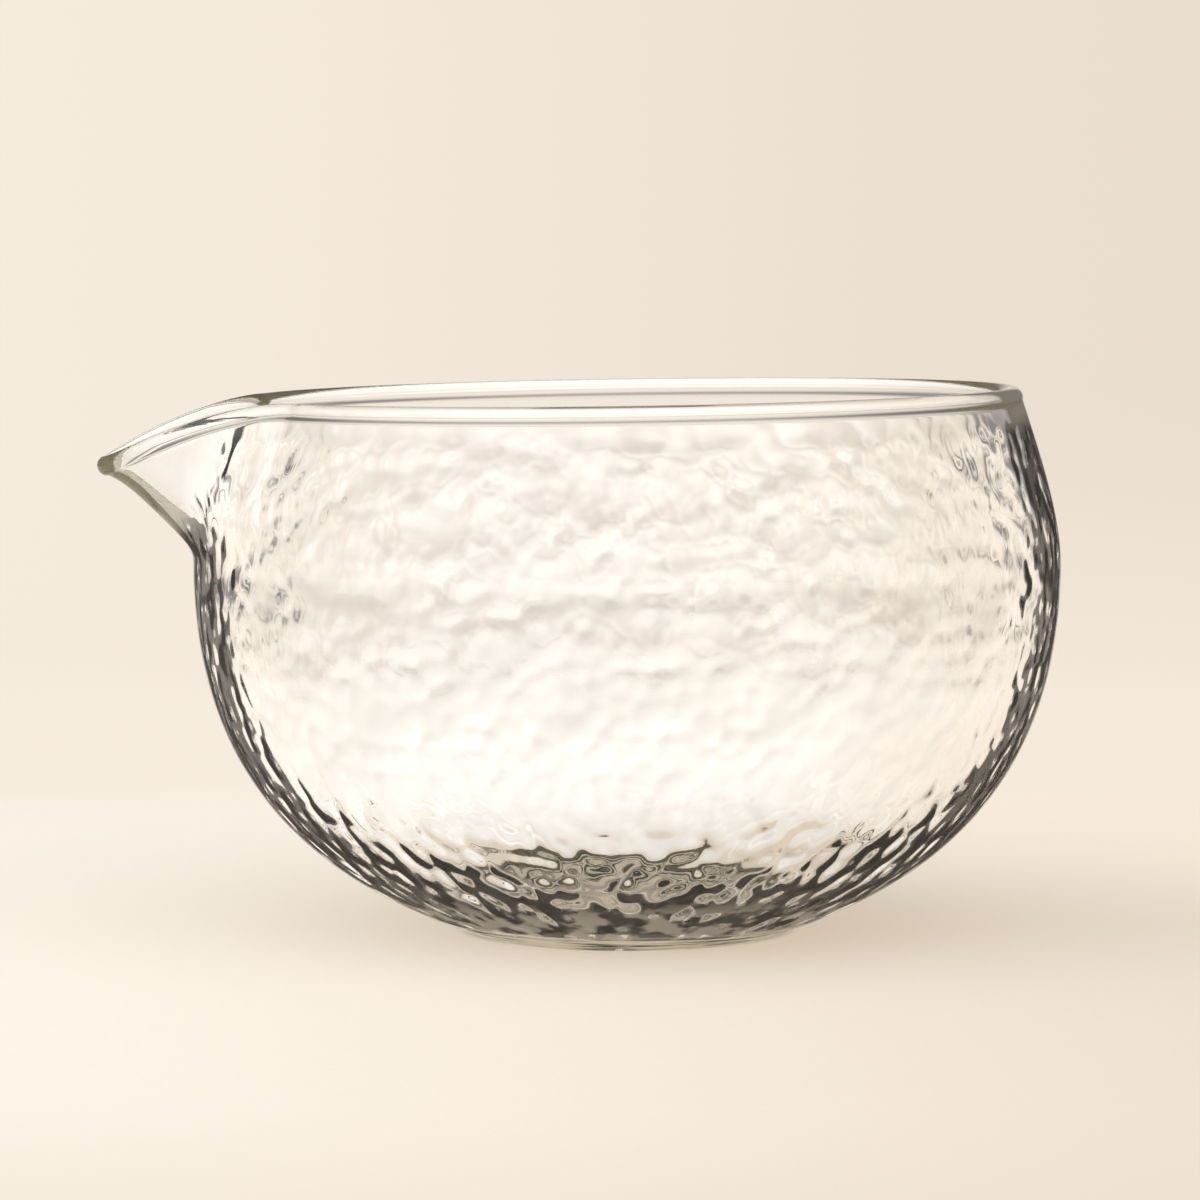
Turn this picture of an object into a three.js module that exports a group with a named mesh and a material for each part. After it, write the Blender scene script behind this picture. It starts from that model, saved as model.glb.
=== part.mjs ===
// Clear glass matcha bowl with a drawn pouring spout.
// Millimetres, +Z up. The origin is the centre of the foot's flat underside, and the spout points along -X.
//
// The glass is one shell between an outside and an inside surface. Both are sampled on one grid of stations
// (angles round the bowl) and rows (foot, wall, shoulder, rim). The zones that the glassmaker works one after
// another, the base, the heel, the wall, the shoulder, the spout and the rim, are blocks of that grid, so they
// meet face to face.

import * as THREE from "three";

// Outside of the bowl, from the foot up
const FOOT_RADIUS = 21; // flat underside
const FOOT_SPLAY = THREE.MathUtils.degToRad(18); // slope of the wall where it leaves the foot
const FOOT_SWEEP = 26.5; // how far the wall keeps that slope
const BELLY_RADIUS = 60; // widest point
const BELLY_HEIGHT = 51.4;
const BELLY_SWEEP = 27.5; // how far below the belly the wall stands upright
const SHOULDER_HEIGHT = 22.75; // from the belly to the neck under the rim, on the side away from the spout
const SHOULDER_INSET = 5.4; // how far the neck is drawn in from the belly
const SHOULDER_SWEEP = 6.9; // how far above the belly the wall stands upright
const NECK_LEAN = THREE.MathUtils.degToRad(18); // inward lean at the neck
const NECK_SWEEP = 6.6; // how far the wall keeps that lean
const RIM_FALL = 1.5; // the rim is this much lower on the spout's side

// Thickness of the glass
const FLOOR_THICKNESS = 3.4; // in the middle of the foot
const HEEL_THICKNESS = 5; // at the edge of the foot, square to the wall
const WALL_THICKNESS = 3.3; // at the belly
const NECK_THICKNESS = 2.4; // under the rim
const BEAD_SWELL = 0.2; // how far the fire-polished rim stands proud of the neck, on each face

// Spout, drawn out of the shoulder
const SPOUT_REACH = 17; // how far the lip is drawn out from the round
const SPOUT_DROP = 8.7; // how far the lip is drawn down
const SPOUT_SPREAD = THREE.MathUtils.degToRad(24); // half the angle over which the shoulder is drawn
const SPOUT_NOSE = THREE.MathUtils.degToRad(4); // rounding of the tip
const SPOUT_TAPER = 1.8; // how fast the pull fades to the sides: 1 is a straight V, more is a beak
const SPOUT_DROP_TAPER = 1.25; // the drop fades faster than the reach by this power
const SPOUT_HEEL = 0.11; // share of the shoulder over which the pull sets in
const SPOUT_CLIMB = 2.5; // power with which it sets in

// Steps of the grid
const SPOUT_STEPS = 32;
const SPOUT_CROWDING = 1.35; // above 1, the stations draw together towards the tip
const ROUND_STEPS = 64; // round the rest of the bowl
const BASE_STEPS = 3;
const HEEL_STEPS = 5; // the thick lower half of the wall
const WALL_STEPS = 5;
const SHOULDER_STEPS = 9;
const BEAD_STEPS = 5; // from the neck to the top of the rim, on each face

const HEEL_START = BASE_STEPS;
const WALL_START = HEEL_START + HEEL_STEPS;
const SHOULDER_START = WALL_START + WALL_STEPS;
const BEAD_START = SHOULDER_START + SHOULDER_STEPS;
const ROWS = BEAD_START + BEAD_STEPS;

// Profile of the outside, radius against height
const belly = new THREE.Vector2(BELLY_RADIUS, BELLY_HEIGHT);
const neck = new THREE.Vector2(BELLY_RADIUS - SHOULDER_INSET, BELLY_HEIGHT + SHOULDER_HEIGHT);
const wallProfile = new THREE.CubicBezierCurve(
  new THREE.Vector2(FOOT_RADIUS, 0),
  new THREE.Vector2(FOOT_RADIUS + FOOT_SWEEP * Math.cos(FOOT_SPLAY), FOOT_SWEEP * Math.sin(FOOT_SPLAY)),
  new THREE.Vector2(belly.x, belly.y - BELLY_SWEEP),
  belly,
);
const shoulderProfile = new THREE.CubicBezierCurve(
  belly,
  new THREE.Vector2(belly.x, belly.y + SHOULDER_SWEEP),
  new THREE.Vector2(neck.x + NECK_SWEEP * Math.sin(NECK_LEAN), neck.y - NECK_SWEEP * Math.cos(NECK_LEAN)),
  neck,
);

// Angles round the bowl from the spout's tip, crowded at the tip and even round the rest.
function stationAngles() {
  const angles = [];
  for (let i = 0; i < SPOUT_STEPS; i++) {
    const along = (2 * i) / SPOUT_STEPS - 1;
    angles.push(Math.sign(along) * Math.abs(along) ** SPOUT_CROWDING * SPOUT_SPREAD);
  }
  const rest = 2 * Math.PI - 2 * SPOUT_SPREAD;
  for (let i = 0; i < ROUND_STEPS; i++) angles.push(SPOUT_SPREAD + (rest * i) / ROUND_STEPS);
  return angles;
}
const stations = stationAngles();

// The spout's pull across the lip: 1 at the tip, 0 where the lip joins the round.
function pullAcross(angle) {
  const turned = Math.atan2(Math.sin(angle), Math.cos(angle));
  const rounded = (a) => Math.hypot(a, SPOUT_NOSE) - SPOUT_NOSE;
  return Math.max(0, 1 - rounded(turned) / rounded(SPOUT_SPREAD)) ** SPOUT_TAPER;
}

// The spout's pull up the shoulder: 0 at the belly, 1 at the neck.
function pullUp(climb) {
  return ((1 + SPOUT_HEEL) * climb ** SPOUT_CLIMB) / (climb ** (SPOUT_CLIMB - 1) + SPOUT_HEEL);
}

function onBowl(angle, radius, height) {
  return new THREE.Vector3(-radius * Math.cos(angle), -radius * Math.sin(angle), height);
}

// Outside of the glass. A level runs from 0 at the foot, through 1 at the belly, to 2 at the neck.
function outsidePoint(angle, level) {
  if (level <= 1) {
    const p = wallProfile.getPoint(level);
    return onBowl(angle, p.x, p.y);
  }
  const climb = level - 1;
  const p = shoulderProfile.getPoint(climb);
  const pull = pullAcross(angle);
  const radius = p.x + SPOUT_REACH * pull * pullUp(climb);
  const fall = RIM_FALL * ((1 + Math.cos(angle)) / 2) * climb * climb;
  const drop = SPOUT_DROP * pull ** SPOUT_DROP_TAPER * pullUp(climb);
  return onBowl(angle, radius, p.y - drop - fall);
}

// Directions on the outside: up the wall, and square out of it.
function directions(angle, level) {
  const step = 1e-3;
  const low = Math.max(level - step, 0);
  const high = Math.min(level + step, 2);
  const up = outsidePoint(angle, high).sub(outsidePoint(angle, low)).normalize();
  const round = outsidePoint(angle + step, level).sub(outsidePoint(angle - step, level));
  const out = new THREE.Vector3().crossVectors(round, up).normalize();
  return { up, out };
}

function thickness(level) {
  if (level <= 1) return WALL_THICKNESS + (HEEL_THICKNESS - WALL_THICKNESS) * (1 - level) ** 3;
  return THREE.MathUtils.lerp(WALL_THICKNESS, NECK_THICKNESS, level - 1);
}

// Base: a flat underside, and an inside floor that dips to the middle and runs on into the wall.
function basePair(angle, row) {
  const share = row / BASE_STEPS;
  const heelRadius = FOOT_RADIUS - HEEL_THICKNESS * Math.sin(FOOT_SPLAY);
  const heelHeight = HEEL_THICKNESS * Math.cos(FOOT_SPLAY);
  const dip = heelHeight - FLOOR_THICKNESS;
  return {
    outside: onBowl(angle, FOOT_RADIUS * share, 0),
    inside: onBowl(angle, heelRadius * share, heelHeight - dip * (1 - share * share)),
  };
}

// Wall and shoulder: the inside lies the glass's thickness behind the outside.
function wallPair(angle, level) {
  const outside = outsidePoint(angle, level);
  const { out } = directions(angle, level);
  return { outside, inside: outside.clone().addScaledVector(out, -thickness(level)) };
}

// Rim: a round bead on the edge of the neck and the spout's lip, swept square to that edge.
function beadPair(angle, row) {
  const { up, out } = directions(angle, 2);
  const beadRadius = NECK_THICKNESS / 2 + BEAD_SWELL;
  const start = -Math.acos(NECK_THICKNESS / 2 / beadRadius);
  const turn = THREE.MathUtils.lerp(start, Math.PI / 2, row / BEAD_STEPS);
  const middle = outsidePoint(angle, 2).addScaledVector(out, -NECK_THICKNESS / 2);
  const above = beadRadius * (Math.sin(turn) - Math.sin(start));
  const aside = row === BEAD_STEPS ? 0 : beadRadius * Math.cos(turn);
  middle.addScaledVector(up, above);
  return {
    outside: middle.clone().addScaledVector(out, aside),
    inside: middle.clone().addScaledVector(out, -aside),
  };
}

function pairAt(angle, row) {
  if (row < HEEL_START) return basePair(angle, row);
  if (row <= SHOULDER_START) return wallPair(angle, (row - HEEL_START) / (HEEL_STEPS + WALL_STEPS));
  if (row <= BEAD_START) return wallPair(angle, 1 + (row - SHOULDER_START) / SHOULDER_STEPS);
  return beadPair(angle, row - BEAD_START);
}

// grid[row][station] holds a point on each surface.
const grid = [];
for (let row = 0; row <= ROWS; row++) grid.push(stations.map((angle) => pairAt(angle, row)));

// The closed solid of the grid's cells that belong to a zone: both surfaces, and the glass between them
// wherever the next cell belongs to another zone.
function zoneGeometry(inZone) {
  const count = stations.length;
  const positions = [];
  const at = (face, row, station) => grid[row][(station + count) % count][face];
  const triangle = (a, b, c) => {
    if (a.equals(b) || b.equals(c) || c.equals(a)) return; // on the axis, or along the top of the rim
    positions.push(...a.toArray(), ...b.toArray(), ...c.toArray());
  };
  const quad = (a, b, c, d) => {
    triangle(a, b, c);
    triangle(a, c, d);
  };
  // Glass between the surfaces along one edge of a cell. Both neighbours split it along the same diagonal.
  const seam = (edge, facing) => {
    const [a, b] = edge.map(([row, station]) => at("outside", row, station));
    const [c, d] = edge.map(([row, station]) => at("inside", row, station));
    const faces = [[a, b, d], [a, d, c]];
    for (const [p, q, r] of faces) facing > 0 ? triangle(p, q, r) : triangle(p, r, q);
  };
  const belongs = (row, station) => row >= 0 && row < ROWS && inZone(row, (station + count) % count);
  for (let row = 0; row < ROWS; row++) {
    for (let i = 0; i < count; i++) {
      if (!belongs(row, i)) continue;
      const corners = [[row, i], [row, i + 1], [row + 1, i + 1], [row + 1, i]];
      quad(...corners.map(([r, s]) => at("outside", r, s)));
      quad(...corners.map(([r, s]) => at("inside", r, s)).reverse());
      if (!belongs(row - 1, i)) seam([corners[0], corners[1]], -1);
      if (!belongs(row + 1, i)) seam([corners[3], corners[2]], 1);
      if (!belongs(row, i - 1)) seam([corners[0], corners[3]], 1);
      if (!belongs(row, i + 1)) seam([corners[1], corners[2]], -1);
    }
  }
  const geometry = new THREE.BufferGeometry();
  geometry.setAttribute("position", new THREE.Float32BufferAttribute(positions, 3));
  geometry.computeVertexNormals();
  return geometry;
}

const glass = new THREE.MeshPhysicalMaterial({
  color: 0xf4f3ee,
  roughness: 0.03,
  metalness: 0,
  transmission: 1,
  ior: 1.47,
});

function piece(name, inZone) {
  const mesh = new THREE.Mesh(zoneGeometry(inZone), glass.clone());
  mesh.name = name;
  return mesh;
}

const onShoulder = (row) => row >= SHOULDER_START && row < BEAD_START;
const inSpout = (row, station) => onShoulder(row) && station < SPOUT_STEPS;

const bowl = new THREE.Group();
bowl.name = "spouted_matcha_bowl";
bowl.add(
  piece("base_disc", (row) => row < HEEL_START),
  piece("heel_wall", (row) => row >= HEEL_START && row < WALL_START),
  piece("bowl_wall", (row) => row >= WALL_START && row < SHOULDER_START),
  piece("shoulder_band", (row, station) => onShoulder(row) && !inSpout(row, station)),
  piece("pouring_spout", inSpout),
  piece("rim_bead", (row) => row >= BEAD_START),
);

export default bowl;
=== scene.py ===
"""Clear hammered-glass matcha bowl with a drawn pouring spout.

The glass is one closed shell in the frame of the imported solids, with +Z up and the spout along -X.
Its outside is smooth. Its inside carries the hammer marks as real relief.
Shapes are worked out in millimetres and turned into metres at the end.
"""
import math

import bpy
import numpy as np
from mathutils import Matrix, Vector, kdtree


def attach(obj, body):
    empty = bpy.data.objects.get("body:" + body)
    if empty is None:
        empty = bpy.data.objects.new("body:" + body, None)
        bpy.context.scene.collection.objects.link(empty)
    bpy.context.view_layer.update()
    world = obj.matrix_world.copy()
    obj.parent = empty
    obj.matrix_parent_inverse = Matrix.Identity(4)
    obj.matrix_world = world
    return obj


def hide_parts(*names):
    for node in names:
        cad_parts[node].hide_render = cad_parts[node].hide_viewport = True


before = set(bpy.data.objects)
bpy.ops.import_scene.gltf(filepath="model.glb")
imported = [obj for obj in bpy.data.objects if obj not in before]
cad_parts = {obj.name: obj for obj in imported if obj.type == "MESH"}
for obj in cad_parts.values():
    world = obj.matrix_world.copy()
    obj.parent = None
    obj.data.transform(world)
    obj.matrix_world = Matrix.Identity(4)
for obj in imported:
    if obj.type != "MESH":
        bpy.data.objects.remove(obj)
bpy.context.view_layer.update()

MM = 0.001
TURN = 2 * math.pi

# Outside of the bowl, from the foot up, in mm and radians: the solids' own values
FOOT_RADIUS = 21.0
FOOT_SPLAY = math.radians(18)
FOOT_SWEEP = 26.5
BELLY_RADIUS = 60.0
BELLY_HEIGHT = 51.4
BELLY_SWEEP = 27.5
SHOULDER_HEIGHT = 22.75
SHOULDER_INSET = 5.4
SHOULDER_SWEEP = 6.9
NECK_LEAN = math.radians(18)
NECK_SWEEP = 6.6
RIM_FALL = 1.5

# Thickness of the glass, in mm
FLOOR_THICKNESS = 3.4
HEEL_THICKNESS = 5.0
WALL_THICKNESS = 3.3
NECK_THICKNESS = 2.4
BEAD_SWELL = 0.2

# Spout, in mm and radians
SPOUT_REACH = 17.0
SPOUT_DROP = 8.7
SPOUT_SPREAD = math.radians(24)
SPOUT_NOSE = math.radians(4)
SPOUT_TAPER = 1.8
SPOUT_DROP_TAPER = 1.25
SPOUT_HEEL = 0.11
SPOUT_CLIMB = 2.5

# Hammer marks on the inside, in mm
MARK_SEED = 11
MARK_PITCH = 2.8  # from one mark to the next
MARK_JITTER = 0.44  # share of the pitch by which a mark is moved
MARK_RADIUS = 1.85  # where a mark runs out
MARK_RADIUS_SPAN = (0.85, 1.2)  # least and greatest share of that
MARK_DEPTH = 0.06
MARK_DEPTH_SPAN = (0.7, 1.25)
MARK_ROUNDING = 55.0  # higher is a sharper ridge between marks
MARK_DRAW = 2.4  # where the wall lies flat, the marks are drawn out up to this many times
MARK_GROWTH = 2.95  # near the foot they are deeper by this many times their depth
FOOT_REACH = (33.0, 52.0)  # radius over which that fades out
NEAR_MARKS = 10  # marks that shape a point
SPECK_SHARE = 0.6  # of the marks have a bright speck in the middle
SPECK_SIZE = 0.36  # of the mark's radius
SPECK_EDGE = 1.6  # higher is a sharper edge of the speck
PAINTED_SHADE_WAY = (-0.62, -0.25, 0.74)  # painted shade: slopes of the marks that face this way stay bright, the others are painted darker
PAINTED_SHADE_GAIN = 11.0
SWELL_DEPTH = 0.008  # of each of the broad waves under the marks
SWELL_COUNT = 24
SWELL_LENGTH = (7.0, 13.0)
COLLAR_SMOOTH = 1.5  # this far below the neck, no marks
COLLAR_FADE = 4.5  # from here down, full marks
SPOUT_SMOOTH = 5.0  # drawn out this far, no marks
SPOUT_FADE = 1.5  # up to here, full marks

# Steps of the mesh
SPOUT_STEPS = 160
SPOUT_CROWDING = 1.35
ROUND_STEPS = 620
INSIDE_STEP = 0.5  # mm between rows
OUTSIDE_STEP = 1.1
RUN_STEPS = 800  # for measuring along the wall
MARK_RUN_STEPS = 400
SLOPE_STEP = 1e-3  # for taking directions on the outside
BEAD_ROWS = 9
HALF_RADIUS = 26.0  # inside this radius every second station is enough, in mm
QUARTER_RADIUS = 13.0
FOOT_INSET = 0.5  # ring of points inside the foot's edge

BELLY = np.array((BELLY_RADIUS, BELLY_HEIGHT))
NECK = np.array((BELLY_RADIUS - SHOULDER_INSET, BELLY_HEIGHT + SHOULDER_HEIGHT))
WALL_CURVE = (
    np.array((FOOT_RADIUS, 0.0)),
    np.array((FOOT_RADIUS + FOOT_SWEEP * math.cos(FOOT_SPLAY), FOOT_SWEEP * math.sin(FOOT_SPLAY))),
    BELLY - (0.0, BELLY_SWEEP),
    BELLY,
)
SHOULDER_CURVE = (
    BELLY,
    BELLY + (0.0, SHOULDER_SWEEP),
    NECK + (NECK_SWEEP * math.sin(NECK_LEAN), -NECK_SWEEP * math.cos(NECK_LEAN)),
    NECK,
)


def bezier(curve, t):
    a, b, c, d = curve
    s = 1 - t
    return s ** 3 * a + 3 * s * s * t * b + 3 * s * t * t * c + t ** 3 * d


def smooth(x):
    x = np.clip(x, 0.0, 1.0)
    return x * x * (3 - 2 * x)


def unit(vectors):
    return vectors / np.linalg.norm(vectors, axis=1, keepdims=True)


def station_angles():
    """Angles of the points of a ring. They start at the spout and lie closer there."""
    along = 2 * np.arange(SPOUT_STEPS) / SPOUT_STEPS - 1
    spout = np.sign(along) * np.abs(along) ** SPOUT_CROWDING * SPOUT_SPREAD
    rest = TURN - 2 * SPOUT_SPREAD
    return np.concatenate((spout, SPOUT_SPREAD + rest * np.arange(ROUND_STEPS) / ROUND_STEPS))


def pull_across(angles):
    """Share of the spout's pull at an angle: 1 in the middle of the spout, 0 beside it."""
    turned = np.arctan2(np.sin(angles), np.cos(angles))
    rounded = np.hypot(turned, SPOUT_NOSE) - SPOUT_NOSE
    whole = math.hypot(SPOUT_SPREAD, SPOUT_NOSE) - SPOUT_NOSE
    return np.maximum(0.0, 1 - rounded / whole) ** SPOUT_TAPER


def pull_up(climb):
    """Share of the spout's pull on the way from the belly, 0, to the neck, 1."""
    return (1 + SPOUT_HEEL) * climb ** SPOUT_CLIMB / (climb ** (SPOUT_CLIMB - 1) + SPOUT_HEEL)


def on_bowl(angles, radius, height):
    flat = np.ones_like(angles)
    return np.stack((-radius * np.cos(angles), -radius * np.sin(angles), height * flat), axis=1)


def outside_points(angles, level):
    """Outside of the glass. A level runs from 0 at the foot, through 1 at the belly, to 2 at the neck."""
    if level <= 1:
        radius, height = bezier(WALL_CURVE, level)
        return on_bowl(angles, radius, height)
    climb = level - 1
    radius, height = bezier(SHOULDER_CURVE, climb)
    pull = pull_across(angles)
    fall = RIM_FALL * (1 + np.cos(angles)) / 2 * climb * climb
    drop = SPOUT_DROP * pull ** SPOUT_DROP_TAPER * pull_up(climb)
    return on_bowl(angles, radius + SPOUT_REACH * pull * pull_up(climb), height - drop - fall)


def directions(angles, level):
    """Directions on the outside: up the wall, and square out of it."""
    above = outside_points(angles, min(level + SLOPE_STEP, 2))
    below = outside_points(angles, max(level - SLOPE_STEP, 0))
    across = outside_points(angles + SLOPE_STEP, level) - outside_points(angles - SLOPE_STEP, level)
    up = unit(above - below)
    return up, unit(np.cross(across, up))


def thickness(level):
    if level <= 1:
        return WALL_THICKNESS + (HEEL_THICKNESS - WALL_THICKNESS) * (1 - level) ** 3
    return WALL_THICKNESS + (NECK_THICKNESS - WALL_THICKNESS) * (level - 1)


def even_levels(step, inside):
    """Levels from the foot to the neck that lie a step apart, measured up the back of the bowl."""
    back = np.array((math.pi,))
    levels = np.linspace(0, 2, RUN_STEPS + 1)
    points = []
    for level in levels:
        point = outside_points(back, level)
        if inside:
            point = point - thickness(level) * directions(back, level)[1]
        points.append(point[0])
    run = np.concatenate(((0.0,), np.cumsum(np.linalg.norm(np.diff(points, axis=0), axis=1))))
    count = round(run[-1] / step)
    return np.interp(np.linspace(0, run[-1], count + 1), run, levels)


ANGLES = station_angles()


class Rings:
    """Rings of points that are sewn into one surface. A ring of every second or fourth station is allowed."""

    def __init__(self):
        self.points = []
        self.faces = []
        self.last = None

    def tip(self, point):
        """Starts or closes the surface with one point on the axis."""
        self.ring(np.asarray(point)[None, :])

    def ring(self, points):
        start = sum(len(block) for block in self.points)
        self.points.append(points)
        self.sew(np.arange(start, start + len(points)))

    def sew(self, new):
        old, self.last = self.last, new
        if old is None:
            return
        if len(old) == 1 or len(new) == 1:
            self.fan(old, new)
        elif len(old) == len(new):
            after_old, after_new = np.roll(old, -1), np.roll(new, -1)
            self.faces.extend(zip(old.tolist(), new.tolist(), after_new.tolist(), after_old.tolist()))
        elif len(old) < len(new):
            self.step(old, new, False)
        else:
            self.step(new, old, True)

    def fan(self, old, new):
        """Sews a ring to one point."""
        ring, tip = (new, int(old[0])) if len(old) == 1 else (old, int(new[0]))
        for a, b in zip(ring.tolist(), np.roll(ring, -1).tolist()):
            self.faces.append((tip, a, b) if len(old) == 1 else (tip, b, a))

    def step(self, coarse, fine, flip):
        """Sews a ring to one with twice its points."""
        count = len(coarse)
        for i in range(count):
            c0, c1 = int(coarse[i]), int(coarse[(i + 1) % count])
            f0, f1, f2 = (int(fine[(2 * i + k) % (2 * count)]) for k in range(3))
            for face in ((c0, f1, f0), (c0, c1, f1), (c1, f2, f1)):
                self.faces.append(face if flip else face[::-1])


def stations_for(radius):
    if radius < QUARTER_RADIUS:
        return ANGLES[::4]
    if radius < HALF_RADIUS:
        return ANGLES[::2]
    return ANGLES


def heel_sizes():
    """Radius and height of the edge of the inside floor, and how far its middle lies below that edge."""
    radius = FOOT_RADIUS - HEEL_THICKNESS * math.sin(FOOT_SPLAY)
    height = HEEL_THICKNESS * math.cos(FOOT_SPLAY)
    return radius, height, height - FLOOR_THICKNESS


def floor_points(angles, radius):
    """Points on the inside floor, and the way into the glass."""
    edge, height, dip = heel_sizes()
    share = radius / edge
    points = on_bowl(angles, radius, height - dip * (1 - share * share))
    return points, unit(on_bowl(angles, 2 * dip * share / edge, -1.0))


def inside_points(angles, level):
    """Points on the inside of the wall, and the way into the glass."""
    out = directions(angles, level)[1]
    return outside_points(angles, level) - thickness(level) * out, out


def mark_share(angles, level):
    """Share of the marks on the wall: they fade out below the neck and on the spout."""
    if level <= 1:
        return np.ones(len(angles))
    below = np.linalg.norm(NECK - bezier(SHOULDER_CURVE, level - 1))
    drawn = SPOUT_REACH * pull_across(angles) * pull_up(level - 1)
    collar = smooth((below - COLLAR_SMOOTH) / (COLLAR_FADE - COLLAR_SMOOTH))
    return collar * smooth((SPOUT_SMOOTH - drawn) / (SPOUT_SMOOTH - SPOUT_FADE))


def inside_rings():
    """Rings of the inside from the floor to the neck: points, way into the glass and share of the marks."""
    rings = []
    for radius in np.arange(INSIDE_STEP, heel_sizes()[0] - INSIDE_STEP / 2, INSIDE_STEP):
        angles = stations_for(radius)
        rings.append((*floor_points(angles, radius), np.ones(len(angles))))
    for level in even_levels(INSIDE_STEP, True):
        angles = ANGLES
        if level < 1:
            angles = stations_for(bezier(WALL_CURVE, level)[0] - thickness(level))
        rings.append((*inside_points(angles, level), mark_share(angles, level)))
    return rings


def near_foot(radius):
    low, high = FOOT_REACH
    return smooth((high - radius) / (high - low))


def row_angles(radius, rng):
    """Angles of the marks in a row round the bowl."""
    count = max(round(TURN * radius / MARK_PITCH), 3)
    places = np.arange(count) + rng.uniform() + rng.uniform(-MARK_JITTER, MARK_JITTER, count)
    return places * TURN / count


def mark_middles(rng):
    """Middles of the marks from the floor to the neck, the way up the wall, and how far each is drawn out."""
    rows = []
    pitch = MARK_PITCH * MARK_DRAW
    for radius in np.arange(pitch / 3, heel_sizes()[0], pitch):
        angles = row_angles(radius, rng)
        rows.append((floor_points(angles, radius)[0], on_bowl(angles, 1.0, 0.0), MARK_DRAW))
    back = np.array((math.pi,))
    levels = np.linspace(0, 2, MARK_RUN_STEPS + 1)
    line = np.concatenate([inside_points(back, level)[0] for level in levels])
    radii = np.hypot(line[:, 0], line[:, 1])
    rises = np.array([directions(back, level)[0][0, 2] for level in levels])
    draws = np.minimum(1 / rises, MARK_DRAW)
    steps = np.linalg.norm(np.diff(line, axis=0), axis=1) / (MARK_PITCH * draws[1:])
    count = np.concatenate(((0.0,), np.cumsum(steps)))
    for level in np.interp(np.arange(0.5, count[-1]), count, levels):
        angles = row_angles(np.interp(level, levels, radii), rng)
        up = directions(angles, level)[0]
        rows.append((inside_points(angles, level)[0], up, np.interp(level, levels, draws)))
    middles = np.concatenate([row[0] for row in rows])
    ups = np.concatenate([row[1] for row in rows])
    draw = np.concatenate([np.full(len(row[0]), row[2]) for row in rows])
    shift = rng.uniform(-MARK_JITTER, MARK_JITTER, len(middles)) * MARK_PITCH * draw
    return middles + shift[:, None] * ups, ups, draw


def dents(points, rng):
    """Depth of the overlapping hammer marks, with softened ridges, and the specks in their middles."""
    middles, ups, draw = mark_middles(rng)
    radius = MARK_RADIUS * rng.uniform(*MARK_RADIUS_SPAN, len(middles))
    depth = MARK_DEPTH * rng.uniform(*MARK_DEPTH_SPAN, len(middles))
    tree = kdtree.KDTree(len(middles))
    for i, middle in enumerate(middles):
        tree.insert(middle, i)
    tree.balance()
    index = np.array([[found[1] for found in tree.find_n(point, NEAR_MARKS)] for point in points])
    apart = points[:, None, :] - middles[index]
    climb = (apart * ups[index]).sum(axis=2)
    square = (apart ** 2).sum(axis=2) - climb ** 2 * (1 - draw[index] ** -2.0)
    share = square / radius[index] ** 2
    height = depth[index] * (share - 1)
    relief = np.log(np.exp(-MARK_ROUNDING * height).sum(axis=1)) / MARK_ROUNDING
    deepest = np.arange(len(points)), height.argmin(axis=1)
    shiny = rng.uniform(size=len(middles)) < SPECK_SHARE
    specks = smooth(SPECK_EDGE - SPECK_EDGE * np.sqrt(share[deepest]) / SPECK_SIZE)
    return relief, specks * shiny[index[deepest]]


def swells(points, rng):
    """Broad shallow waves in all directions."""
    total = np.zeros(len(points))
    for _ in range(SWELL_COUNT):
        way = unit(rng.normal(size=(1, 3)))[0]
        turns = points @ way / rng.uniform(*SWELL_LENGTH) + rng.uniform()
        total += SWELL_DEPTH * np.sin(TURN * turns)
    return total


def bowl_rings():
    """Points and faces of the glass, the way into it on the inside, and the material's values at each point."""
    surface = Rings()
    inside = inside_rings()
    points = np.concatenate([ring[0] for ring in inside])
    into = np.concatenate([ring[1] for ring in inside])
    marks = np.concatenate([ring[2] for ring in inside])
    rng = np.random.default_rng(MARK_SEED)
    deeper = 1 + MARK_GROWTH * near_foot(np.hypot(points[:, 0], points[:, 1]))
    relief, specks = dents(points, rng)
    relief = relief * deeper + swells(points, rng)
    points = points + into * (relief * marks)[:, None]
    surface.tip((0.0, 0.0, points[:len(inside[0][0]), 2].mean()))
    start = 0
    for ring in inside:
        surface.ring(points[start:start + len(ring[0])])
        start += len(ring[0])

    up, out = directions(ANGLES, 2)
    bead_radius = NECK_THICKNESS / 2 + BEAD_SWELL
    turn = -math.acos(NECK_THICKNESS / 2 / bead_radius)
    centre = outside_points(ANGLES, 2) - out * NECK_THICKNESS / 2 - up * bead_radius * math.sin(turn)
    for angle in np.linspace(turn, math.pi - turn, 2 * BEAD_ROWS + 1)[1:-1]:
        surface.ring(centre + bead_radius * (math.sin(angle) * up - math.cos(angle) * out))

    hammered = [np.ones(1), marks, np.zeros((2 * BEAD_ROWS - 1) * len(ANGLES))]
    for level in even_levels(OUTSIDE_STEP, False)[::-1]:
        angles = ANGLES if level >= 1 else ANGLES[::2]
        surface.ring(outside_points(angles, level))
        hammered.append(mark_share(angles, level))
    surface.ring(on_bowl(ANGLES[::2], FOOT_RADIUS - FOOT_INSET, 0.0))
    surface.ring(on_bowl(ANGLES[::4], FOOT_RADIUS / 2, 0.0))
    surface.tip((0.0, 0.0, 0.0))

    points = np.concatenate(surface.points) * MM
    into_glass = np.zeros_like(points)
    into_glass[1:len(into) + 1] = into
    bright = np.zeros(len(points))
    bright[1:len(into) + 1] = specks * marks
    hammered = np.concatenate(hammered)
    hammered = np.pad(hammered, (0, len(points) - len(hammered)))
    return points, surface.faces, into_glass, {"speck": bright, "hammered": hammered}


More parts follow.
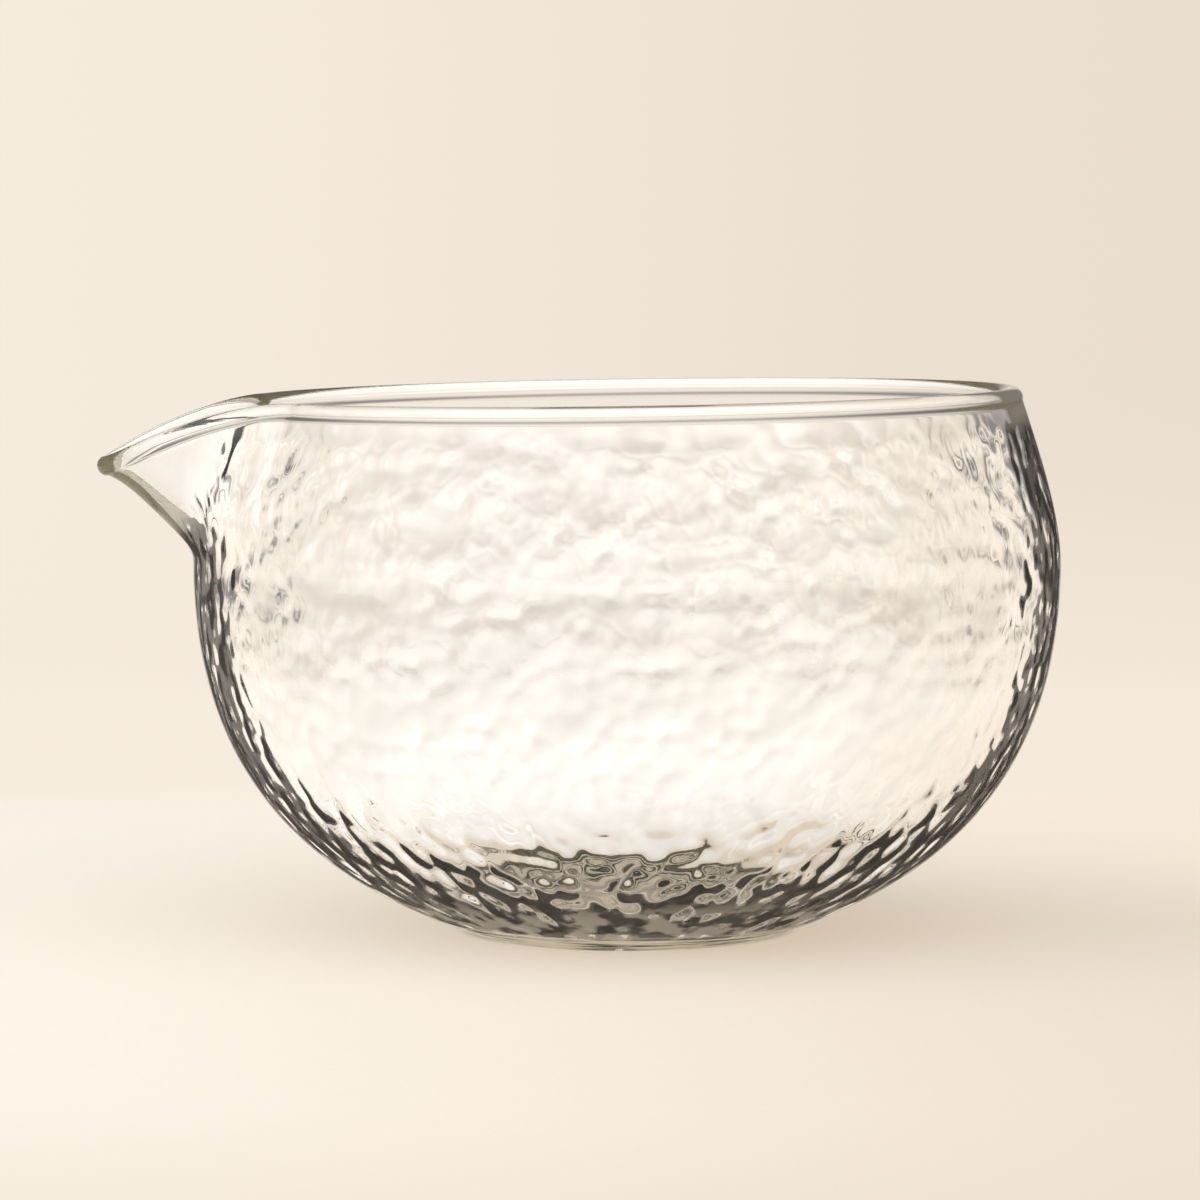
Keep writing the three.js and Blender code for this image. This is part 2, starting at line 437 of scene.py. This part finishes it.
class Graph:
    """Short forms for the nodes of one tree."""

    def __init__(self, tree):
        self.nodes = tree.nodes
        self.links = tree.links

    def put(self, socket, value):
        if isinstance(value, bpy.types.NodeSocket):
            self.links.new(value, socket)
        else:
            socket.default_value = value

    def vector(self, operation, a, b=(0.0, 0.0, 0.0)):
        node = self.nodes.new("ShaderNodeVectorMath")
        node.operation = operation
        self.put(node.inputs[0], a)
        self.put(node.inputs["Scale" if operation == "SCALE" else 1], b)
        measured = operation in ("DOT_PRODUCT", "DISTANCE", "LENGTH")
        return node.outputs["Value" if measured else "Vector"]

    def dot(self, a, b):
        return self.vector("DOT_PRODUCT", a, b)

    def math(self, operation, *values):
        node = self.nodes.new("ShaderNodeMath")
        node.operation = operation
        for socket, value in zip(node.inputs, values):
            self.put(socket, value)
        return node.outputs["Value"]

    def product(self, first, *others):
        for other in others:
            first = self.math("MULTIPLY", first, other)
        return first

    def fade(self, value, edges):
        """0 before the first edge, 1 after the second."""
        node = self.nodes.new("ShaderNodeMapRange")
        node.interpolation_type = "SMOOTHSTEP"
        self.put(node.inputs["Value"], value)
        node.inputs["From Min"].default_value = edges[0]
        node.inputs["From Max"].default_value = edges[1]
        return node.outputs["Result"]

    def attribute(self, name):
        node = self.nodes.new("ShaderNodeAttribute")
        node.attribute_name = name
        return node.outputs["Fac"]

    def noise(self, place, scale):
        node = self.nodes.new("ShaderNodeTexNoise")
        self.put(node.inputs["Vector"], place)
        node.inputs["Scale"].default_value = scale
        return node.outputs["Fac"]

    def mix(self, share, a, b):
        node = self.nodes.new("ShaderNodeMix")
        node.data_type = "RGBA"
        self.put(node.inputs["Factor"], share)
        self.put(node.inputs[6], a)
        self.put(node.inputs[7], b)
        return node.outputs[2]

    def diffuse(self, colour):
        node = self.nodes.new("ShaderNodeBsdfDiffuse")
        self.put(node.inputs["Color"], colour)
        return node.outputs["BSDF"]

    def shader_mix(self, share, a, b):
        node = self.nodes.new("ShaderNodeMixShader")
        self.put(node.inputs["Fac"], share)
        self.put(node.inputs[1], a)
        self.put(node.inputs[2], b)
        return node.outputs["Shader"]


WHITE = (1.0, 1.0, 1.0, 1.0)
BLACK = (0.0, 0.0, 0.0, 1.0)
UP = (0.0, 0.0, 1.0)
LEVEL = (1.0, 1.0, 0.0)

# Glass
GLASS_TINT = (0.90, 0.90, 0.70, 1.0)
GLASS_DENSITY = 3.0  # per metre
GLASS_INDEX = 1.47
GLASS_SHADOW = (0.988, 0.970, 0.940, 1.0)  # light left after each surface on its way to the floor
WEAR_SCALE = 160.0  # of the faint unevenness of the polish
WEAR_LEAST = 0.003
WEAR_SPAN = 0.014
PAINTED_SLOPE_SHADE = (0.83, 0.823, 0.812, 1.0)  # painted shade on the slopes of the marks that face away from the light

# Where the glass mirrors from within, a share of its reflection is replaced by a painted dark reflection
LOW_PAINTED_SHARE = 0.88  # share painted near the foot
HIGH_PAINTED_SHARE = 0.80  # and from the belly up
CLEAR_PAINTED_SHARE = 0.55  # and where the glass isn't hammered: foot, collar, rim and spout
MIRROR_BAND = (0.048, 0.018)  # heights between which the high share turns into the low one
MIRROR_EDGE = (0.4, 1.0)  # Fresnel reflection over which the painted reflection sets in
PAINTED_DARK_REFLECTION = (0.055, 0.052, 0.048, 1.0)  # painted dark reflection seen there
PAINTED_PALE_REFLECTION = (0.40, 0.39, 0.365, 1.0)  # paler painted reflection in patches near the foot
PATCH_SCALE = 230.0
PATCH_EDGES = (0.44, 0.57)  # noise over which a patch sets in
PATCH_HEIGHT = (0.012, 0.007)  # the patches run out between these heights
PAINTED_OLIVE_REFLECTION = (0.24, 0.215, 0.14, 1.0)  # painted olive reflection where the glass isn't hammered

# Hammered wall at a steep angle only lets light through, up to a bright outline
THROUGH_SHARE = 0.92
EDGE_LINE = (0.55, 0.80)  # Fresnel reflection over which that ends, from outside
INNER_LINE = (0.08, 0.35)  # and from within the glass

# Painted reflection in rings on the underside of the foot
RING_SPAN = 0.0058  # from one ring to the next
RING_SCALE = 220.0  # of the noise that bends them
RING_BEND = 5.0  # radians
RING_EDGES = (-0.6, 0.8)  # sines over which dark turns into pale
PAINTED_RING_DARK = (0.08, 0.075, 0.06, 1.0)
PAINTED_RING_PALE = (0.80, 0.77, 0.68, 1.0)
RING_HEIGHT = (0.0004, 0.0012)  # they run out between these heights

# Pale diffuse streaks round the outside of the foot
STREAK_COLOUR = (0.84, 0.82, 0.74, 1.0)
STREAK_SHARE = 0.75
STREAK_HEIGHT = (0.0031, 0.0024)  # they run out between these heights
STREAK_EDGES = (0.30, 0.62)  # noise over which a streak sets in
STREAK_SCALE = 90.0
STREAK_STRETCH = 24.0


def painted_reflection_share(graph, height, hammered, reflection, within):
    """Share of the reflection from within that is replaced by a painted reflection, apart from the specks."""
    mirrored = graph.product(graph.fade(reflection, MIRROR_EDGE), within)
    low = graph.fade(height, MIRROR_BAND)
    painted_part = graph.math("MULTIPLY_ADD", low, LOW_PAINTED_SHARE - HIGH_PAINTED_SHARE, HIGH_PAINTED_SHARE - CLEAR_PAINTED_SHARE)
    painted_part = graph.math("MULTIPLY_ADD", hammered, painted_part, CLEAR_PAINTED_SHARE)
    return graph.product(mirrored, painted_part, graph.math("SUBTRACT", 1.0, graph.attribute("speck")))


def painted_reflection_colour(graph, place, height, hammered):
    """Painted reflection seen there: dark and paler patches on the hammered wall, rings and olive elsewhere."""
    # Painted reflection in rings round the axis, for the underside of the foot
    off_axis = graph.vector("LENGTH", graph.vector("MULTIPLY", place, LEVEL))
    turns = graph.math("MULTIPLY", off_axis, TURN / RING_SPAN)
    turns = graph.math("MULTIPLY_ADD", graph.noise(place, RING_SCALE), RING_BEND, turns)
    rings = graph.mix(graph.fade(graph.math("SINE", turns), RING_EDGES), PAINTED_RING_DARK, PAINTED_RING_PALE)
    # Painted olive reflection where the glass isn't hammered, above the rings
    clear = graph.mix(graph.fade(height, RING_HEIGHT), rings, PAINTED_OLIVE_REFLECTION)
    patches = graph.fade(graph.noise(place, PATCH_SCALE), PATCH_EDGES)
    patches = graph.product(patches, graph.fade(height, PATCH_HEIGHT))
    return graph.mix(hammered, clear, graph.mix(patches, PAINTED_DARK_REFLECTION, PAINTED_PALE_REFLECTION))


def through_share(graph, hammered, reflection, within, outside):
    """Share of the wall that only lets light through."""
    share = graph.product(outside, graph.fade(reflection, EDGE_LINE[::-1]))
    share = graph.math("MULTIPLY_ADD", within, graph.fade(reflection, INNER_LINE[::-1]), share)
    return graph.product(share, hammered, THROUGH_SHARE)


def streak_share(graph, place, height, outside):
    """Share of the streaks round the foot."""
    streaks = graph.noise(graph.vector("MULTIPLY", place, (1.0, 1.0, STREAK_STRETCH)), STREAK_SCALE)
    streaks = graph.product(graph.fade(streaks, STREAK_EDGES), graph.fade(height, STREAK_HEIGHT))
    return graph.product(streaks, STREAK_SHARE, outside)


def glass_material():
    material = bpy.data.materials.new("clear_glass")
    material.use_nodes = True
    graph = Graph(material.node_tree)
    place = graph.nodes.new("ShaderNodeTexCoord").outputs["Object"]
    height = graph.dot(place, UP)
    within = graph.nodes.new("ShaderNodeNewGeometry").outputs["Backfacing"]
    outside = graph.math("SUBTRACT", 1.0, within)
    hammered = graph.attribute("hammered")
    fresnel = graph.nodes.new("ShaderNodeFresnel")
    fresnel.inputs["IOR"].default_value = GLASS_INDEX
    reflection = fresnel.outputs["Fac"]

    # Painted shade on the hammer marks where light leaves the glass: slopes that face away from the light are
    # darker
    leaning = graph.mix(graph.attribute("lean"), PAINTED_SLOPE_SHADE, WHITE)
    colour = graph.mix(within, WHITE, leaning)
    wear = graph.noise(place, WEAR_SCALE)
    shader = graph.nodes["Principled BSDF"]
    graph.put(shader.inputs["Base Color"], colour)
    graph.put(shader.inputs["Roughness"], graph.math("MULTIPLY_ADD", wear, WEAR_SPAN, WEAR_LEAST))
    shader.inputs["IOR"].default_value = GLASS_INDEX
    shader.inputs["Transmission Weight"].default_value = 1.0

    # Painted reflection in place of a share of the glass's reflection from within
    painted_share = painted_reflection_share(graph, height, hammered, reflection, within)
    painted_reflection = graph.diffuse(painted_reflection_colour(graph, place, height, hammered))
    glass = graph.shader_mix(painted_share, shader.outputs["BSDF"], painted_reflection)

    through = graph.nodes.new("ShaderNodeBsdfRefraction")
    through.inputs["IOR"].default_value = GLASS_INDEX
    through.inputs["Roughness"].default_value = 0.0
    graph.put(through.inputs["Color"], colour)
    share = through_share(graph, hammered, reflection, within, outside)
    glass = graph.shader_mix(share, glass, through.outputs["BSDF"])

    streaks = streak_share(graph, place, height, outside)
    glass = graph.shader_mix(streaks, glass, graph.diffuse(STREAK_COLOUR))

    # Diffuse rays pass, so the floor gets a light shadow without traced caustics
    shadow = graph.nodes.new("ShaderNodeBsdfTransparent")
    shadow.inputs["Color"].default_value = GLASS_SHADOW
    path = graph.nodes.new("ShaderNodeLightPath")
    glass = graph.shader_mix(path.outputs["Is Diffuse Ray"], glass, shadow.outputs["BSDF"])

    absorb = graph.nodes.new("ShaderNodeVolumeAbsorption")
    absorb.inputs["Color"].default_value = GLASS_TINT
    absorb.inputs["Density"].default_value = GLASS_DENSITY
    output = graph.nodes["Material Output"]
    graph.put(output.inputs["Surface"], glass)
    graph.put(output.inputs["Volume"], absorb.outputs["Volume"])
    return material


def build_bowl():
    points, faces, into, layers = bowl_rings()
    mesh = bpy.data.meshes.new("bowl_glass")
    mesh.from_pydata(points.tolist(), [], faces)
    mesh.update()
    normals = np.zeros(len(points) * 3)
    mesh.vertex_normals.foreach_get("vector", normals)
    # Painted shade: how far each point's slope faces a fixed light direction
    tilt = (normals.reshape(-1, 3) + into) @ np.array(PAINTED_SHADE_WAY)
    layers["lean"] = np.where(into.any(axis=1), np.clip(0.5 + PAINTED_SHADE_GAIN * tilt, 0, 1), 1.0)
    for name, values in layers.items():
        mesh.attributes.new(name, "FLOAT", "POINT").data.foreach_set("value", values)
    mesh.polygons.foreach_set("use_smooth", np.ones(len(mesh.polygons), dtype=bool))
    mesh.materials.append(glass_material())
    piece = bpy.data.objects.new("bowl_glass", mesh)
    bpy.context.collection.objects.link(piece)
    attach(piece, "root")
    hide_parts("base_disc", "heel_wall", "bowl_wall", "shoulder_band", "pouring_spout", "rim_bead")


# Camera at the photograph's viewpoint
CAMERA_PLACE = (-0.1135, -0.6927, 0.0982)
CAMERA_TURN = math.radians(-9)
CAMERA_PITCH = math.radians(4.245)
CAMERA_LENS = 152.1
CAMERA_SENSOR = 36.0
CAMERA_CLIP = 0.01

# Sweep of floor and backdrop: directions, and colours by direction from a fixed point. Its paler left and
# darker right front are light falloff, painted where the floor shows them
SWEEP_EYE = CAMERA_PLACE  # a constant: the colours stay in place when the camera moves
SWEEP_ALONG = (0.1564, 0.9877, 0.0)  # from the front towards the backdrop
SWEEP_ACROSS = (0.9877, -0.1564, 0.0)
BACKDROP_LEFT = (0.925, 0.840, 0.735, 1.0)
BACKDROP_RIGHT = (0.825, 0.728, 0.615, 1.0)
BACKDROP_SPREAD = (-0.15, 0.13)  # sines of the angle to the side, from the left colour to the right one
GROUND_LEFT = (0.915, 0.828, 0.722, 1.0)
GROUND_RIGHT = (0.905, 0.808, 0.692, 1.0)
GROUND_RIGHT_FRONT = (0.845, 0.742, 0.628, 1.0)
GROUND_BAND = (-0.105, -0.03)  # sines of the elevation over which the ground turns into the backdrop
FRONT_BAND = (-0.140, -0.122)  # and the right front into the right back

# Light that the bowl gathers: a tint of the sweep that shows only through glass, on the near floor a painted
# pool of light
GLOW_WAY = (0.1557, 0.9835, -0.0917)  # its middle
GLOW_REACH = (0.15, 0.03)  # distances between directions over which it sets in
GLOW_TOP = (0.04, -0.06)  # sines of the elevation over which it sets in
GLOW_LOW = (1.23, 1.29, 1.37, 1.0)
GLOW_HIGH = (0.90, 0.905, 0.94, 1.0)
GLOW_BAND = (-0.138, -0.01)  # sines of the elevation, from the low tint to the high one
GLOW_SIDE = (0.10, 0.02)  # metres aside over which it sets in as a painted pool of light on the near floor
GLOW_FLOOR = (0.020, 0.045)  # and metres along, behind the bowl

# Near floor: painted light falloff, paler on the left and darker at the right front, with a contact shadow
FLOOR_LEFT = (0.990, 0.935, 0.862, 1.0)
FLOOR_RIGHT = (0.850, 0.755, 0.662, 1.0)
FLOOR_RIGHT_BACK = (0.960, 0.862, 0.755, 1.0)
FLOOR_SPREAD = (-0.10, 0.11)  # metres across, from the left colour to the right one
FLOOR_ROUGHNESS = 0.9
FLOOR_GLOSS = 0.1
FLOOR_SIZE = 0.50
FLOOR_SIDES = 96
FLOOR_GAP = 0.0003  # under the foot
FLOOR_GLOW_REACH = (0.14, 0.22)  # between these distances the lit floor turns into a painted glow in the colours of the sweep
FLOOR_FAR = (0.32, 0.48)  # and here it fades into the world
GRAIN_SCALE = 1500.0
GRAIN_SPAN = 0.05
CONTACT_PLACE = (0.0008, 0.005, 0.0)  # middle of the shadow that the foot stands on
CONTACT_SHADE = (0.15, 0.122, 0.092, 1.0)
CONTACT_RADIUS = (0.0205, 0.0245)  # it fades out between these
CONTACT_UNDER = (0.66, 0.59, 0.50, 1.0)  # paler colour in its middle
CONTACT_MIDDLE = (0.008, 0.0195)  # distances over which that turns into the shade


def sweep_light(graph, way):
    """Colours of the ground and the backdrop in a direction, and the tint of the light that glass gathers."""
    rise = graph.dot(way, UP)
    spread = graph.fade(graph.dot(way, SWEEP_ACROSS), BACKDROP_SPREAD)
    right = graph.mix(graph.fade(rise, FRONT_BAND), GROUND_RIGHT_FRONT, GROUND_RIGHT)
    ground = graph.mix(spread, GROUND_LEFT, right)
    backdrop = graph.mix(spread, BACKDROP_LEFT, BACKDROP_RIGHT)
    glow = graph.fade(graph.vector("DISTANCE", way, GLOW_WAY), GLOW_REACH)
    path = graph.nodes.new("ShaderNodeLightPath")
    glow = graph.product(glow, graph.fade(rise, GLOW_TOP), path.outputs["Is Transmission Ray"])
    tint = graph.mix(graph.fade(rise, GLOW_BAND), GLOW_LOW, GLOW_HIGH)
    return ground, backdrop, graph.mix(glow, WHITE, tint)


def floor_material():
    material = bpy.data.materials.new("pale_floor")
    material.use_nodes = True
    graph = Graph(material.node_tree)
    place = graph.nodes.new("ShaderNodeTexCoord").outputs["Object"]
    way = graph.vector("NORMALIZE", graph.vector("SUBTRACT", place, SWEEP_EYE))
    rise = graph.dot(way, UP)
    across = graph.dot(place, SWEEP_ACROSS)

    # Painted light falloff: paler on the left, darker at the right front
    right = graph.mix(graph.fade(rise, FRONT_BAND), FLOOR_RIGHT, FLOOR_RIGHT_BACK)
    pale = graph.mix(graph.fade(across, FLOOR_SPREAD), FLOOR_LEFT, right)
    grain = graph.noise(place, GRAIN_SCALE)
    pale = graph.vector("SCALE", pale, graph.math("MULTIPLY_ADD", grain, GRAIN_SPAN, 1.0 - GRAIN_SPAN / 2))
    off_foot = graph.vector("DISTANCE", place, CONTACT_PLACE)
    shade = graph.mix(graph.fade(off_foot, CONTACT_MIDDLE), CONTACT_UNDER, CONTACT_SHADE)
    colour = graph.mix(graph.fade(off_foot, CONTACT_RADIUS), shade, pale)

    ground, backdrop, tint = sweep_light(graph, way)
    # Painted light: further out the floor glows in the colours of the sweep instead of being lit
    far = graph.vector("MULTIPLY", graph.mix(graph.fade(rise, GROUND_BAND), ground, backdrop), tint)
    # Painted pool of light: the near floor behind the bowl glows, seen only through glass
    painted_light_pool = graph.vector("MULTIPLY", pale, graph.vector("SUBTRACT", tint, WHITE[:3]))
    behind = graph.fade(graph.dot(place, SWEEP_ALONG), GLOW_FLOOR)
    beside = graph.fade(graph.math("ABSOLUTE", across), GLOW_SIDE)
    painted_light_pool = graph.vector("SCALE", painted_light_pool, graph.product(behind, beside))

    off_middle = graph.vector("LENGTH", place)
    glowing = graph.fade(off_middle, FLOOR_GLOW_REACH)
    shader = graph.nodes["Principled BSDF"]
    graph.put(shader.inputs["Base Color"], graph.mix(glowing, colour, BLACK))
    shader.inputs["Roughness"].default_value = FLOOR_ROUGHNESS
    shader.inputs["Specular IOR Level"].default_value = FLOOR_GLOSS
    graph.put(shader.inputs["Emission Color"], graph.mix(glowing, painted_light_pool, far))
    shader.inputs["Emission Strength"].default_value = 1.0
    clear = graph.nodes.new("ShaderNodeBsdfTransparent").outputs["BSDF"]
    surface = graph.shader_mix(graph.fade(off_middle, FLOOR_FAR), shader.outputs["BSDF"], clear)
    graph.put(graph.nodes["Material Output"].inputs["Surface"], surface)
    return material


def build_floor():
    mesh = bpy.data.meshes.new("floor")
    rim = [(FLOOR_SIZE * math.cos(a), FLOOR_SIZE * math.sin(a), -FLOOR_GAP)
           for a in np.linspace(0, TURN, FLOOR_SIDES, endpoint=False)]
    mesh.from_pydata(rim, [], [tuple(range(len(rim)))])
    mesh.materials.append(floor_material())
    floor = bpy.data.objects.new("floor", mesh)
    bpy.context.collection.objects.link(floor)


# World: the sweep goes on behind the floor, in a room that brightens towards a broad soft light
ROOM_LOW = (0.22, 0.21, 0.20, 1.0)  # away from the light
ROOM_HIGH = (1.68, 1.64, 1.58, 1.0)  # towards it
LIGHT_WAY = (-0.30, -0.70, 0.65)
LIGHT_SPREAD = (0.0, 0.85)  # cosines of the angle from the light over which the room brightens
BACKDROP_SIDE = (0.118, 0.21)  # sines of the angle to the side over which the backdrop runs out
BACKDROP_TOP = (0.045, 0.30)  # sines of the elevation over which it runs out
BACKDROP_FRONT = (0.0, 0.3)  # and it sets in where the way turns from the front to the back


def build_world():
    world = bpy.data.worlds.new("studio")
    bpy.context.scene.world = world
    world.use_nodes = True
    graph = Graph(world.node_tree)
    way = graph.nodes.new("ShaderNodeTexCoord").outputs["Generated"]
    rise = graph.dot(way, UP)
    light = graph.fade(graph.dot(way, Vector(LIGHT_WAY).normalized()), LIGHT_SPREAD)
    room = graph.mix(light, ROOM_LOW, ROOM_HIGH)
    ground, backdrop, tint = sweep_light(graph, way)
    aside = graph.math("ABSOLUTE", graph.dot(way, SWEEP_ACROSS))
    kept = graph.product(
        graph.fade(aside, BACKDROP_SIDE[::-1]),
        graph.fade(graph.dot(way, SWEEP_ALONG), BACKDROP_FRONT),
        graph.fade(rise, BACKDROP_TOP[::-1]),
    )
    sweep = graph.mix(graph.fade(rise, GROUND_BAND), ground, graph.mix(kept, room, backdrop))
    back = graph.nodes["Background"]
    graph.put(back.inputs["Color"], graph.vector("MULTIPLY", sweep, tint))
    back.inputs["Strength"].default_value = 1.0


def build_camera():
    data = bpy.data.cameras.new("camera")
    data.lens = CAMERA_LENS
    data.sensor_width = CAMERA_SENSOR
    data.clip_start = CAMERA_CLIP
    camera = bpy.data.objects.new("camera", data)
    camera.location = CAMERA_PLACE
    camera.rotation_euler = (math.pi / 2 - CAMERA_PITCH, 0.0, CAMERA_TURN)
    bpy.context.collection.objects.link(camera)
    bpy.context.scene.camera = camera


# Bounces that clear glass needs
GLASS_BOUNCES = 32
MIRROR_BOUNCES = 16


def set_light_paths():
    scene = bpy.context.scene
    scene.view_settings.view_transform = "Standard"
    scene.cycles.max_bounces = GLASS_BOUNCES
    scene.cycles.transmission_bounces = GLASS_BOUNCES
    scene.cycles.glossy_bounces = MIRROR_BOUNCES
    scene.cycles.transparent_max_bounces = MIRROR_BOUNCES


build_camera()
build_bowl()
build_floor()
build_world()
set_light_paths()
